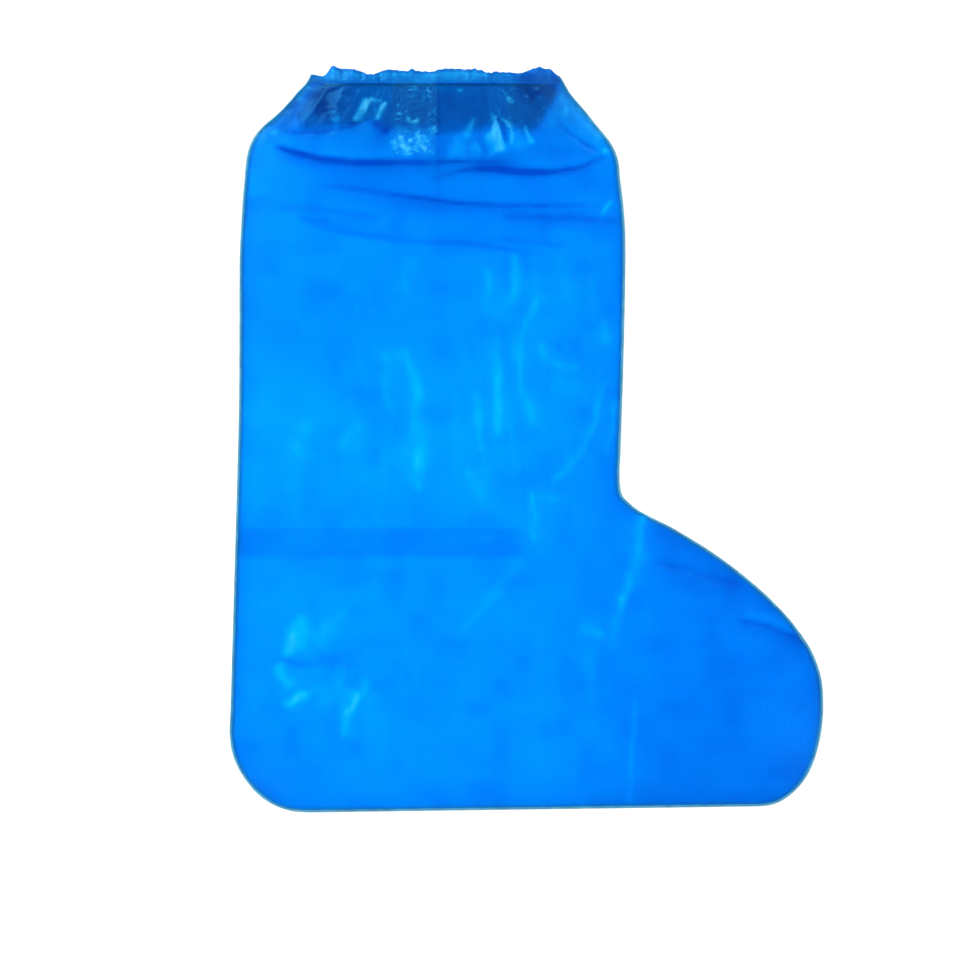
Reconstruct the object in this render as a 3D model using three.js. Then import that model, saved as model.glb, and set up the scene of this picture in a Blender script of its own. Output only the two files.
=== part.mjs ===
// A knee-high disposable boot cover of thin blue film, lying flat on its side.
// Two boot-shaped sheets are welded along back, sole and front, and an elastic gathers the mouth.
// Millimetres, +Z up. X runs from the heel to the toe and Y from the sole to the mouth.
import * as THREE from "three";

// Foot outline
const footLength = 396.4;
const heelRadius = 52;
const toeReach = 42;
const toeHeight = 64;
const toePull = 70;
const soleRise = 5.3;
const ankleHeight = 206;
const ankleRun = 7.2;
const ankleFillet = 14;
const instepPull = 31;
const instepFall = 31;

// Leg, cuff and frill outline
const legWidth = 256;
const legRise = 213.7;
const cuffRise = 49;
const mouthDraw = 39.2;
const mouthWidth = 172;
const frillHeight = 12;
const frillInset = 2.6;

// Film, weld, hem and elastic
const filmWall = 1.2;
const gap = 0.3;
const weldWidth = 2.5;
const weldThickness = 2.7;
const elasticThickness = 1.2;
const elasticWidth = 2.4;
const elasticEase = 0.5;
const elasticTurn = 3.6;
const hemDepth = 28;
const hemMargin = 2.6;

// Air between the sheets
const legLoft = 16;
const loftReach = 72;
const mouthGap = 6.5;
const mouthReach = 30;

// Gathers, frill and creases
const gatherRise = 2;
const gatherReach = 95;
const gatherFade = 6;
const frillSpread = 4;
const frillTrough = 0.4;
const lowerFrillSpread = 2;
const creaseDepth = 3;
const creaseWidth = 12;

// Spacing of the mesh
const legStep = 17;
const ankleStep = 6;
const cuffStep = 8;
const arcSteps = 7;
const curveSteps = 16;

// Leg edges from the ankle to the shoulder: up is a share of that height, back and front of legWidth
const legSections = [
  { up: 0, back: 0.019, front: 1.016 },
  { up: 0.36, back: 0.026, front: 1.026 },
  { up: 0.74, back: 0.029, front: 1.031 },
  { up: 0.92, back: 0.039, front: 1.018 },
  { up: 1, back: 0.046, front: 1.009 },
];

// Cuff edges from the shoulder to the elastic: back and front are shares of the drawing-in
const cuffSections = [
  { up: 0.22, back: 0.09, front: 0.16 },
  { up: 0.35, back: 0.21, front: 0.315 },
  { up: 0.49, back: 0.38, front: 0.467 },
  { up: 0.63, back: 0.585, front: 0.62 },
  { up: 0.84, back: 0.82, front: 0.87 },
  { up: 1, back: 1, front: 1 },
];

// Gathers from back to front: width is a share of the mouth and rise of gatherRise,
// tip and dip are shares of frillHeight at the gather's crest and at its start
const gathers = [
  { width: 0.062, rise: 0.5, tip: 0.45, dip: 0.36 },
  { width: 0.078, rise: 1, tip: 1, dip: 0.44 },
  { width: 0.062, rise: 0.6, tip: 0.8, dip: 0.78 },
  { width: 0.07, rise: 0.9, tip: 0.78, dip: 0.72 },
  { width: 0.101, rise: 1, tip: 0.8, dip: 0.44 },
  { width: 0.093, rise: 0.7, tip: 0.82, dip: 0.68 },
  { width: 0.116, rise: 1, tip: 0.88, dip: 0.62 },
  { width: 0.108, rise: 0.8, tip: 0.88, dip: 0.8 },
  { width: 0.085, rise: 0.9, tip: 0.68, dip: 0.68 },
  { width: 0.07, rise: 0.6, tip: 0.75, dip: 0.57 },
  { width: 0.093, rise: 1, tip: 0.94, dip: 0.68 },
  { width: 0.062, rise: 0.5, tip: 0.78, dip: 0.75 },
];
const lastDip = 0.4;

// Creases pressed into the upper sheet, each a straight run between two places: along is a share of
// footLength and up of shoulderHeight, depth is a share of creaseDepth and width of creaseWidth
const creases = [
  { along: 0.1, up: 0.99, alongEnd: 0.62, upEnd: 0.985, depth: 1, width: 0.8 },
  { along: 0.14, up: 0.96, alongEnd: 0.53, upEnd: 0.925, depth: 0.8, width: 1 },
  { along: 0.15, up: 0.885, alongEnd: 0.31, upEnd: 0.872, depth: 0.5, width: 1 },
  { along: 0.01, up: 0.41, alongEnd: 0.5, upEnd: 0.405, depth: 0.8, width: 1.3 },
  { along: 0.69, up: 0.26, alongEnd: 0.67, upEnd: 0.405, depth: 0.7, width: 1 },
  { along: 0.85, up: 0.286, alongEnd: 0.97, upEnd: 0.256, depth: 0.6, width: 0.9 },
  { along: 0.14, up: 0.235, alongEnd: 0.22, upEnd: 0.33, depth: 0.6, width: 1.1 },
];

// Shares of a gather's width where the mesh has a column, in the cuff and in the body
const cuffColumns = [0, 0.25, 0.5, 0.75];
const bodyColumns = [0, 0.5];

const { clamp, degToRad, lerp } = THREE.MathUtils;
const quarterTurn = Math.PI / 2;

// Corner in front of the ankle, where the leg's front and the instep would meet
const fall = degToRad(instepFall);
const cornerReach = legWidth * legSections[0].front;
const cornerHeight = ankleHeight + ankleRun * Math.tan(fall);
const instepReach = cornerReach + ankleRun;

// Levels up the leg and cuff, and where the mouth's back is
const legBase = cornerHeight + ankleFillet;
const shoulderHeight = legBase + legRise;
const elasticHeight = shoulderHeight + cuffRise;
const mouthSet = legWidth * legSections.at(-1).back + mouthDraw;

// Levels through the gathered mouth, from the surface up
const seat = filmWall + gap;
const elasticStack = elasticThickness + 2 * elasticEase;
const elasticFloor = filmWall + gatherRise + elasticEase;
const mouthFloor = filmWall + gatherRise + elasticStack + filmWall;
const mouthRoof = mouthFloor + mouthGap;
const mouthLoft = mouthRoof + filmWall + elasticStack;

// Leg and cuff edges as points, given the column of the tables and the edge's place at the mouth
function legAndCuff(side, mouthPlace) {
  const shoulderPlace = legWidth * legSections.at(-1)[side];
  const leg = legSections.map((section) => {
    const level = lerp(legBase, shoulderHeight, section.up);
    return new THREE.Vector2(legWidth * section[side], level);
  });
  const cuff = cuffSections.map((section) => {
    const level = lerp(shoulderHeight, elasticHeight, section.up);
    return new THREE.Vector2(lerp(shoulderPlace, mouthPlace, section[side]), level);
  });
  return [...leg, ...cuff];
}

// Back edge, from the sole round the heel and up to the frill
function backOutline() {
  const edge = new THREE.Path();
  edge.absarc(heelRadius, heelRadius, heelRadius, -quarterTurn, -2 * quarterTurn, true);
  edge.splineThru(legAndCuff("back", mouthSet));
  edge.lineTo(mouthSet + frillInset, elasticHeight + frillHeight);
  return edge.getPoints(curveSteps);
}

// Front edge, from the sole round the toe, over the instep and up to the frill
function frontOutline() {
  const mouthEnd = mouthSet + mouthWidth;
  const edge = new THREE.Path();
  edge.absellipse(footLength - toeReach, toeHeight, toeReach, toeHeight, -quarterTurn, 0, false, 0);
  edge.bezierCurveTo(
    footLength,
    toeHeight + toePull,
    instepReach + instepPull * Math.cos(fall),
    ankleHeight - instepPull * Math.sin(fall),
    instepReach,
    ankleHeight,
  );
  edge.quadraticCurveTo(cornerReach, cornerHeight, cornerReach, legBase);
  edge.splineThru(legAndCuff("front", mouthEnd).slice(1));
  edge.lineTo(mouthEnd - frillInset, elasticHeight + frillHeight);
  return edge.getPoints(curveSteps);
}

// Place on an edge at a level
function placeAt(edge, level) {
  const next = clamp(edge.findIndex((point) => point.y >= level), 1, edge.length - 1);
  const from = edge[next - 1];
  const to = edge[next];
  return lerp(from.x, to.x, clamp((level - from.y) / (to.y - from.y), 0, 1));
}

// Evenly spread levels from one up to, but not with, another
function levels(from, to, step) {
  const count = Math.max(1, Math.round((to - from) / step));
  return Array.from({ length: count }, (_, i) => lerp(from, to, i / count));
}

// All row levels: the heel's and toe's rounding first, then the leg, the cuff and the frill
function rowLevels() {
  const hemEdge = elasticHeight - hemDepth;
  const rounding = Array.from({ length: arcSteps }, (_, i) =>
    heelRadius * (1 - Math.cos((quarterTurn * i) / arcSteps)),
  );
  return [
    ...rounding,
    ...levels(heelRadius, ankleHeight, legStep),
    ...levels(ankleHeight, legBase, ankleStep),
    ...levels(legBase, shoulderHeight, legStep),
    ...levels(shoulderHeight, hemEdge, cuffStep),
    ...levels(hemEdge, elasticHeight, cuffStep),
    elasticHeight,
    elasticHeight + hemMargin,
    elasticHeight + (hemMargin + frillHeight) / 2,
    elasticHeight + frillHeight,
  ];
}

// Gather at a share of the way across the mouth: its wave from 0 to 1 and the frill's height there
function gatherAt(across) {
  let start = 0;
  let index = 0;
  while (index < gathers.length - 1 && start + gathers[index].width <= across) {
    start += gathers[index].width;
    index += 1;
  }
  const gather = gathers[index];
  const share = clamp((across - start) / (gatherEnd(index) - start), 0, 1);
  const dipBeside = share < 0.5 ? gather.dip : (gathers[index + 1]?.dip ?? lastDip);
  const swell = 0.5 - 0.5 * Math.cos(2 * Math.PI * share);
  return { wave: gather.rise * swell, tip: lerp(dipBeside, gather.tip, swell) };
}

// Share of the mouth where a gather ends
function gatherEnd(index) {
  if (index === gathers.length - 1) {
    return 1;
  }
  return gathers.slice(0, index + 1).reduce((sum, gather) => sum + gather.width, 0);
}

// Shares across a row where the mesh has a column, at the same places in every gather
function columnsOf(places) {
  const starts = gathers.map((_, index) => (index === 0 ? 0 : gatherEnd(index - 1)));
  const inside = starts.flatMap((start, index) =>
    places.map((place) => lerp(start, gatherEnd(index), place)),
  );
  return [...inside, 1];
}

// A line moved sideways towards its left hand, with mitred corners
function inset(line, distance) {
  const sides = line.slice(1).map((point, i) => {
    const along = point.clone().sub(line[i]).normalize();
    return new THREE.Vector2(-along.y, along.x);
  });
  return line.map((point, i) => {
    const before = sides[Math.max(i - 1, 0)];
    const after = sides[Math.min(i, sides.length - 1)];
    const mitre = before.clone().add(after).normalize();
    return point.clone().addScaledVector(mitre, distance / mitre.dot(after));
  });
}

// Whole edge from the frill down the back, along the sole and up the front, seen from above
function outline(rowHeights) {
  const back = backOutline();
  const front = frontOutline();
  const raised = (edge, level, across) => {
    const place = placeAt(edge, level);
    const frillShare = clamp((level - elasticHeight) / frillHeight, 0, 1);
    const frillDrop = frillShare * frillHeight * (1 - gatherAt(across).tip);
    const rise = soleRise * (place / footLength) * clamp(1 - level / ankleHeight, 0, 1);
    return new THREE.Vector2(place, level + rise - frillDrop);
  };
  const down = rowHeights.map((level) => raised(back, level, 0)).reverse();
  const up = rowHeights.map((level) => raised(front, level, 1));
  return [...down, ...up];
}

const rowHeights = rowLevels();
const rim = outline(rowHeights);
const filmEdge = inset(rim, weldWidth + gap);

// Rows strung across the film from the back edge to the front edge
const rows = rowHeights.map((level, i) => ({
  level,
  frill: clamp((level - elasticHeight) / frillHeight, 0, 1),
  back: filmEdge[rowHeights.length - 1 - i],
  front: filmEdge[rowHeights.length + i],
}));

// Place on a row at a share of the way across, lifted to the frill's jagged top
function spotOn(row, across) {
  const spot = row.back.clone().lerp(row.front, across);
  const even = lerp(gatherAt(0).tip, gatherAt(1).tip, across);
  spot.y += row.frill * frillHeight * (gatherAt(across).tip - even);
  return spot;
}

// Distance from a place to the nearest point of a line
function distanceTo(line, spot) {
  const nearest = new THREE.Vector3();
  const target = new THREE.Vector3(spot.x, spot.y, 0);
  const run = new THREE.Line3();
  let least = Infinity;
  for (let i = 0; i + 1 < line.length; i += 1) {
    run.start.set(line[i].x, line[i].y, 0);
    run.end.set(line[i + 1].x, line[i + 1].y, 0);
    run.closestPointToPoint(target, true, nearest);
    least = Math.min(least, nearest.distanceTo(target));
  }
  return least;
}

// Depth that the creases press into the film at a place
function creaseAt(spot) {
  const pressed = creases.map(({ along, up, alongEnd, upEnd, depth, width }) => {
    const from = new THREE.Vector2(footLength * along, shoulderHeight * up);
    const to = new THREE.Vector2(footLength * alongEnd, shoulderHeight * upEnd);
    const away = distanceTo([from, to], spot) / (creaseWidth * width);
    return creaseDepth * depth * Math.exp(-away * away);
  });
  return Math.max(...pressed);
}

// Underside of the upper film without its gathers
function loftAt(spot) {
  const drawn = THREE.MathUtils.smoothstep(spot.y, shoulderHeight, elasticHeight - cuffStep);
  const reach = lerp(loftReach, mouthReach, drawn);
  const top = lerp(legLoft, mouthLoft, drawn);
  const rise = Math.sin(quarterTurn * Math.min(1, distanceTo(filmEdge, spot) / reach));
  return seat + (top - seat - creaseAt(spot) * (1 - drawn)) * rise;
}

// Height that a gather's wave adds at a place, which dies away down the leg and at the welds
function gatherLift(spot, wave) {
  const near = clamp(1 - (elasticHeight - spot.y) / gatherReach, 0, 1);
  return gatherRise * near * near * wave * edgeFade(spot);
}

function edgeFade(spot) {
  return Math.min(1, distanceTo(filmEdge, spot) / gatherFade);
}

// Upper sheet: above the elastic its frill stands up at each crest and hangs down between them
function upperLift(row, spot, across) {
  const { wave } = gatherAt(across);
  const spread = row.frill * row.frill * frillSpread * (wave - frillTrough);
  return gatherLift(spot, wave) + spread * edgeFade(spot);
}

// Lower sheet: its gathers come in the opposite order and only rise from the surface
function lowerLift(row, spot, across) {
  const { wave } = gatherAt(1 - across);
  return gatherLift(spot, wave) + row.frill * lowerFrillSpread * wave * edgeFade(spot);
}

// Triangles between two neighbouring rows whose columns needn't match
function zip(near, far) {
  const faces = [];
  let i = 0;
  let j = 0;
  while (i < near.length - 1 || j < far.length - 1) {
    const nextNear = near[i + 1]?.across ?? Infinity;
    const nextFar = far[j + 1]?.across ?? Infinity;
    if (nextNear <= nextFar) {
      faces.push([near[i], near[i + 1], far[j]]);
      i += 1;
    } else {
      faces.push([near[i], far[j + 1], far[j]]);
      j += 1;
    }
  }
  return faces;
}

// Closed film over some rows: columns gives the shares across a row, underside its height there
function film(filmRows, columns, underside) {
  const places = [];
  const faces = [];
  const lines = filmRows.map((row) =>
    columns(row).map((across) => {
      const spot = spotOn(row, across);
      const height = underside(row, spot, across);
      const low = places.length / 3;
      places.push(spot.x, spot.y, height, spot.x, spot.y, height + filmWall);
      return { across, low, high: low + 1 };
    }),
  );
  for (let i = 0; i + 1 < lines.length; i += 1) {
    for (const [a, b, c] of zip(lines[i], lines[i + 1])) {
      faces.push(a.high, b.high, c.high, a.low, c.low, b.low);
    }
  }
  const inner = lines.slice(1, -1);
  const border = [
    ...lines[0],
    ...inner.map((line) => line.at(-1)),
    ...lines.at(-1).toReversed(),
    ...inner.map((line) => line[0]).toReversed(),
  ];
  border.forEach((a, i) => {
    const b = border[(i + 1) % border.length];
    faces.push(a.low, b.low, b.high, a.low, b.high, a.high);
  });
  const geometry = new THREE.BufferGeometry();
  geometry.setAttribute("position", new THREE.Float32BufferAttribute(places, 3));
  geometry.setIndex(faces);
  geometry.computeVertexNormals();
  return geometry;
}

// Columns of a row: fine ones where the film is gathered, coarse ones over leg and foot
function foldColumns(row) {
  return columnsOf(row.level > shoulderHeight ? cuffColumns : bodyColumns);
}

function upperPanel() {
  return film(rows, foldColumns, (row, spot, across) => loftAt(spot) + upperLift(row, spot, across));
}

// Lower sheet: flat on the surface, gathered only towards the mouth
function lowerPanel() {
  const flatBelow = elasticHeight - gatherReach;
  const columns = (row) => (row.level < flatBelow ? [0, 1] : foldColumns(row));
  return film(rows, columns, lowerLift);
}

// Fused rim that joins the two sheets
function edgeWeld() {
  const shape = new THREE.Shape([...rim, ...inset(rim, weldWidth).reverse()]);
  return new THREE.ExtrudeGeometry(shape, { depth: weldThickness, bevelEnabled: false });
}

const elasticRow = rows.find((row) => row.level === elasticHeight);
const elasticLevel = (elasticRow.back.y + elasticRow.front.y) / 2;

// Height between the elastic's floor and the upper film at a share across the elastic's row
function roomAt(across) {
  return loftAt(spotOn(elasticRow, across)) - elasticEase - elasticFloor;
}

// Elastic loop, laid flat between the sheets: its two strands and the turns at both ends
function elasticBand() {
  const across = columnsOf(cuffColumns).filter((share) => roomAt(share) >= elasticTurn);
  const strand = across.map((share) => {
    return new THREE.Vector2(spotOn(elasticRow, share).x, elasticFloor + roomAt(share));
  });
  const start = strand[0].x;
  const end = strand.at(-1).x;
  const outer = [new THREE.Vector2(start, elasticFloor), new THREE.Vector2(end, elasticFloor)];
  const shape = new THREE.Shape([...outer, ...strand.toReversed()]);
  const holeFloor = elasticFloor + elasticThickness;
  const inside = strand.slice(1, -1).map(({ x, y }) => new THREE.Vector2(x, y - elasticThickness));
  const hole = new THREE.Path([
    new THREE.Vector2(start + elasticThickness, holeFloor),
    new THREE.Vector2(end - elasticThickness, holeFloor),
    new THREE.Vector2(end - elasticThickness, strand.at(-1).y - elasticThickness),
    ...inside.toReversed(),
    new THREE.Vector2(start + elasticThickness, strand[0].y - elasticThickness),
  ]);
  shape.holes.push(hole);
  const band = new THREE.ExtrudeGeometry(shape, { depth: elasticWidth, bevelEnabled: false });
  band.rotateX(quarterTurn);
  return band.translate(0, elasticLevel + elasticWidth / 2, 0);
}

// Share of the hem's depth below the elastic, where the hem takes up the film's gathers
function hemDrop(spot) {
  return clamp((elasticHeight - spot.y) / hemDepth, 0, 1);
}

// Rows and columns of the hem, which ends where the two sheets come together
function hem(underside) {
  const hemEdge = elasticHeight - hemDepth;
  const hemRows = rows.filter(({ level }) => level >= hemEdge && level <= elasticHeight + hemMargin);
  const leastLoft = mouthFloor + gap + filmWall + elasticStack;
  const across = columnsOf(cuffColumns).filter((share) =>
    hemRows.every((row) => loftAt(spotOn(row, share)) >= leastLoft),
  );
  return film(hemRows, () => across, underside);
}

function upperHem() {
  return hem((row, spot, across) => {
    const wave = gatherLift(spot, gatherAt(across).wave) * hemDrop(spot);
    return loftAt(spot) + wave - elasticStack - filmWall;
  });
}

function lowerHem() {
  return hem((row, spot, across) => {
    const wave = lerp(gatherRise, gatherLift(spot, gatherAt(1 - across).wave), hemDrop(spot));
    return filmWall + wave + elasticStack;
  });
}

const blueFilm = new THREE.MeshStandardMaterial({ color: 0x0090fa, roughness: 0.3 });
const hemFilm = new THREE.MeshStandardMaterial({ color: 0x0a55b8, roughness: 0.35 });
const weldedFilm = new THREE.MeshStandardMaterial({ color: 0x2d7dc0, roughness: 0.4 });
const rubberCord = new THREE.MeshStandardMaterial({ color: 0x0a4fa0, roughness: 0.7 });

const pieces = [
  ["lower_panel", lowerPanel(), blueFilm],
  ["upper_panel", upperPanel(), blueFilm],
  ["edge_weld", edgeWeld(), weldedFilm],
  ["hem_lower", lowerHem(), hemFilm],
  ["hem_upper", upperHem(), hemFilm],
  ["elastic_band", elasticBand(), rubberCord],
];

const bootCover = new THREE.Group();
for (const [name, geometry, material] of pieces) {
  const piece = new THREE.Mesh(geometry, material);
  piece.name = name;
  bootCover.add(piece);
}

// The origin is on the surface, under the middle of the laid-out cover
const bounds = new THREE.Box3().setFromObject(bootCover, true);
const middle = bounds.getCenter(new THREE.Vector3());
bootCover.position.set(-middle.x, -middle.y, -bounds.min.z);

export default bootCover;
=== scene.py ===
# A knee-high disposable boot cover of thin blue film, lying flat on its side on a white table.
# Two boot-shaped sheets are welded round their edge, and an elastic gathers the mouth into a frill.
import math

import bpy
import numpy as np
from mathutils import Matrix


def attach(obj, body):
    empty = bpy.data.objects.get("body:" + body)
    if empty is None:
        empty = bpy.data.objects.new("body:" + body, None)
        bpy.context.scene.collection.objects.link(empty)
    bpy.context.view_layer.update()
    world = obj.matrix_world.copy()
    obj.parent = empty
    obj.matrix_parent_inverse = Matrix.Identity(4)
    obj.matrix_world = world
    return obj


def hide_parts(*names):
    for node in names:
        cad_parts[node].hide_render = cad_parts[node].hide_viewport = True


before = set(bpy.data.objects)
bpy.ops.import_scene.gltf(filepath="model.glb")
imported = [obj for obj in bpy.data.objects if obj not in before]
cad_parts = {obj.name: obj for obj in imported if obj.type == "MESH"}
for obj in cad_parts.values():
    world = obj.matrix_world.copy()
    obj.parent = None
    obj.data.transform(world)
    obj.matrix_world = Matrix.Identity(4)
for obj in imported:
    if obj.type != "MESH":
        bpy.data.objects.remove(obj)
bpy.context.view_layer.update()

# Lower sheet: one half of the boot shape, die-cut from blown polyethylene film 0.04 mm thick and
# shown 0.3 mm thick. It lies flat on the table, and only its mouth is gathered. All its places are
# in millimetres from the heel and the sole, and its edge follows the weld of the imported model.
HEEL_X, SOLE_Y = -0.19797, -0.24914
SOLE_SLOPE = 5.3 / 396.4
ANKLE = 206.0
SHOULDER = 438.0
MOUTH = 487.0
HEEL_ROUND = 52.0
FILM = 0.3
ON_TABLE = 0.1
SAME_LEVEL = 0.01
SAME_PLACE = 0.02


def boot_level(x, y):
    """Height up the boot as the rows of the sheet count it, level with the sloping sole."""
    tilted = (y - SOLE_SLOPE * x) / (1 - SOLE_SLOPE * x / ANKLE)
    return np.where(y < ANKLE, tilted, y)


def weld_knots():
    """Corners of the weld's outer edge, up the back and up the front, as places and levels."""
    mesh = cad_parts["edge_weld"].data
    spots = np.empty(len(mesh.vertices) * 3)
    mesh.vertices.foreach_get("co", spots)
    spots = spots.reshape(-1, 3)
    x = (spots[:, 0] - HEEL_X) * 1000
    level = boot_level(x, (spots[:, 1] - SOLE_Y) * 1000)
    flat = spots[:, 2] * 1000 < ON_TABLE
    ends = np.empty(len(mesh.edges) * 2, dtype=int)
    mesh.edges.foreach_get("vertices", ends)
    ends = ends.reshape(-1, 2)
    ends = ends[flat[ends].all(axis=1)]
    from_x, to_x = x[ends[:, 0]], x[ends[:, 1]]
    from_level, to_level = level[ends[:, 0]], level[ends[:, 1]]
    back, front = {}, {}
    for place, height in zip(x[flat], level[flat]):
        crossed = (from_level - height) * (to_level - height) < 0
        run = to_level[crossed] - from_level[crossed]
        share = (height - from_level[crossed]) / run
        places = from_x[crossed] + share * (to_x[crossed] - from_x[crossed])
        places = np.append(places, x[flat & (abs(level - height) < SAME_LEVEL)])
        if height > MOUTH + 1:
            continue
        if abs(place - places.min()) < SAME_PLACE:
            back[round(float(height), 2)] = place
        if abs(place - places.max()) < SAME_PLACE:
            front[round(float(height), 2)] = place
    return [np.array([(knots[key], key) for key in sorted(knots)]) for knots in (back, front)]


def smooth_line(knots, steps=8):
    """A curve through the knots, with even steps between each two of them."""
    knots = np.asarray(knots, dtype=float)
    if len(knots) < 3:
        shares = np.linspace(0, 1, steps + 1)[:, None]
        return knots[0] + (knots[-1] - knots[0]) * shares
    before = 2 * knots[0] - knots[1]
    after = 2 * knots[-1] - knots[-2]
    around = np.vstack([before, knots, after])
    gaps = np.maximum(np.linalg.norm(np.diff(around, axis=0), axis=1), 1e-6)[:, None]
    slopes = np.diff(around, axis=0) / gaps
    tangents = (slopes[:-1] * gaps[1:] + slopes[1:] * gaps[:-1]) / (gaps[:-1] + gaps[1:])
    line = []
    for i in range(len(knots) - 1):
        t = np.linspace(0, 1, steps, endpoint=False)[:, None]
        gap = gaps[i + 1]
        line.append(
            (2 * t**3 - 3 * t**2 + 1) * knots[i]
            + (t**3 - 2 * t**2 + t) * gap * tangents[i]
            + (3 * t**2 - 2 * t**3) * knots[i + 1]
            + (t**3 - t**2) * gap * tangents[i + 1]
        )
    line.append(knots[-1:])
    return np.vstack(line)


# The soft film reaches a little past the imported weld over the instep, and stays inside it at the
# heel and up the back: the level, and how many millimetres it is eased toward the toe there
BACK_EASE = [
    (0, 0.0), (8, 0.9), (15, 1.8), (24, 1.8), (33, 1.5), (42, 1.0), (50, 0.8), (242, 0.9), (275, 0.8),
    (309, 0.4), (342, 0.2), (375, 0.2), (385, 0.6), (448, 0.5), (462, 1.1), (469, 1.5), (476, 0.7),
    (487, 1.1),
]
INSTEP_EASE = [
    (20, 0.0), (42, -0.9), (60, -0.8), (70, 0.0), (76, 0.6), (82, 1.3), (89, 2.1), (95, 2.7),
    (102, 3.2), (115, 3.7), (142, 3.6), (162, 3.2), (181, 2.9), (189, 1.3), (202, 1.1), (206, 0.0),
    (209, -0.7), (220, 0.0),
]
back_knots, front_knots = weld_knots()
for knots, easing in ((back_knots, BACK_EASE), (front_knots, INSTEP_EASE)):
    levels, toward_toe = np.array(easing).T
    knots[:, 0] += np.interp(knots[:, 1], levels, toward_toe)
back_edge = smooth_line(back_knots, steps=24)
front_edge = smooth_line(front_knots, steps=24)
MOUTH_BACK, MOUTH_FRONT = back_knots[-1, 0], front_knots[-1, 0]
MOUTH_WIDTH = 172
FRILL_INSET = 2.6


def edge_place(edge, levels):
    """Place along the sole's direction where an edge is at each level."""
    rising = np.maximum.accumulate(edge[:, 1])
    return np.interp(levels, rising, edge[:, 0])


def on_boot(x, level):
    """Height over the sole line of a place at a level."""
    return level + SOLE_SLOPE * x * np.clip(1 - level / ANKLE, 0, None)


rim = np.vstack([back_edge[::-1], front_edge])
rim = np.column_stack([rim[:, 0], on_boot(rim[:, 0], rim[:, 1])])
steps_apart = np.linalg.norm(np.diff(rim, axis=0), axis=1)
rim_way = np.concatenate([[0], np.cumsum(steps_apart)])
RIM_STEP = 2.5
rim_stops = np.linspace(0, rim_way[-1], int(rim_way[-1] / RIM_STEP))
rim = np.column_stack([np.interp(rim_stops, rim_way, rim[:, axis]) for axis in (0, 1)])


def near_line(x, y, line):
    """Distance from each place to a line, share of the line's length at the nearest spot, and 1 on
    the line's left or -1 on its right."""
    best = np.full(x.shape, np.inf)
    along = np.zeros(x.shape)
    hand = np.ones(x.shape)
    spans = np.diff(line, axis=0)
    lengths = np.linalg.norm(spans, axis=1)
    starts = np.concatenate([[0], np.cumsum(lengths)])
    for start, span, length, begun in zip(line, spans, lengths, starts):
        share = ((x - start[0]) * span[0] + (y - start[1]) * span[1]) / max(length**2, 1e-9)
        share = np.clip(share, 0, 1)
        away = np.hypot(x - start[0] - share * span[0], y - start[1] - share * span[1])
        nearer = away < best
        best = np.where(nearer, away, best)
        along = np.where(nearer, (begun + share * length) / starts[-1], along)
        turn = span[0] * (y - start[1]) - span[1] * (x - start[0])
        hand = np.where(nearer, np.where(turn >= 0, 1, -1), hand)
    return best, along, hand


def mottle(x, y, cell, seed):
    """Soft random swell from -1 to 1 over the film, with a lump about every cell millimetres."""
    lumps = np.random.default_rng(seed).uniform(-1, 1, (700, 700))
    margin = 60
    u, v = x / cell + margin, y / cell + margin
    i, j = np.floor(u).astype(int), np.floor(v).astype(int)
    s, t = u - i, v - j
    s, t = s * s * (3 - 2 * s), t * t * (3 - 2 * t)
    low = lumps[i, j] * (1 - s) + lumps[i + 1, j] * s
    high = lumps[i, j + 1] * (1 - s) + lumps[i + 1, j + 1] * s
    return low * (1 - t) + high * t


def ease(value, low, high):
    """0 below low, 1 above high, and a smooth step between them."""
    share = np.clip((value - low) / (high - low), 0, 1)
    return share * share * (3 - 2 * share)


def within(value, start, full, fading, gone):
    """1 from full to fading, 0 before start and after gone, and smooth steps between them."""
    return ease(value, start, full) * (1 - ease(value, fading, gone))


def off_weld(sheet, width=6):
    """0 on the weld's line, and 1 from width millimetres inside it."""
    return np.clip(sheet["inside"] / width, 0, 1)


# Height of the frill's torn-looking top over the elastic, from the back of the mouth to the front
FRILL_TOP = [
    (0.0, 4.7), (0.058, 4.7), (0.082, 10.6), (0.124, 9.3), (0.184, 8.0), (0.224, 6.0), (0.248, 4.7),
    (0.28, 7.3), (0.324, 8.7), (0.384, 7.4), (0.408, 8.8), (0.424, 7.3), (0.484, 6.7), (0.532, 9.2),
    (0.6, 8.7), (0.664, 9.3), (0.692, 7.3), (0.812, 6.0), (0.855, 7.0), (0.915, 10.2), (0.965, 8.4),
    (1.0, 4.0),
]


def frill_height(across):
    """Height of the frill at a share of the way across the mouth, with small random nicks."""
    shares, heights = np.array(FRILL_TOP).T
    place = across * MOUTH_WIDTH
    nicks = mottle(place, 0 * across, 3.2, 11) + mottle(place, 0 * across, 1.6, 19)
    return np.interp(across, shares, heights) + 0.5 * nicks


def film_levels(leg_step, cuff_step, frill_rows):
    """Levels of the sheet's rows and, above the elastic, each row's share of the frill's height."""
    turn = np.linspace(0, math.pi / 2, int(HEEL_ROUND * math.pi / 2 / leg_step), endpoint=False)
    rounding = HEEL_ROUND * (1 - np.cos(turn))
    leg = np.linspace(HEEL_ROUND, SHOULDER, int((SHOULDER - HEEL_ROUND) / leg_step), endpoint=False)
    cuff = np.linspace(SHOULDER, MOUTH, int((MOUTH - SHOULDER) / cuff_step))
    frill = np.linspace(0, 1, frill_rows + 1)[1:]
    levels = np.concatenate([rounding, leg, cuff, np.full(frill_rows, MOUTH)])
    return levels, np.concatenate([np.zeros(len(levels) - frill_rows), frill])


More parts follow.
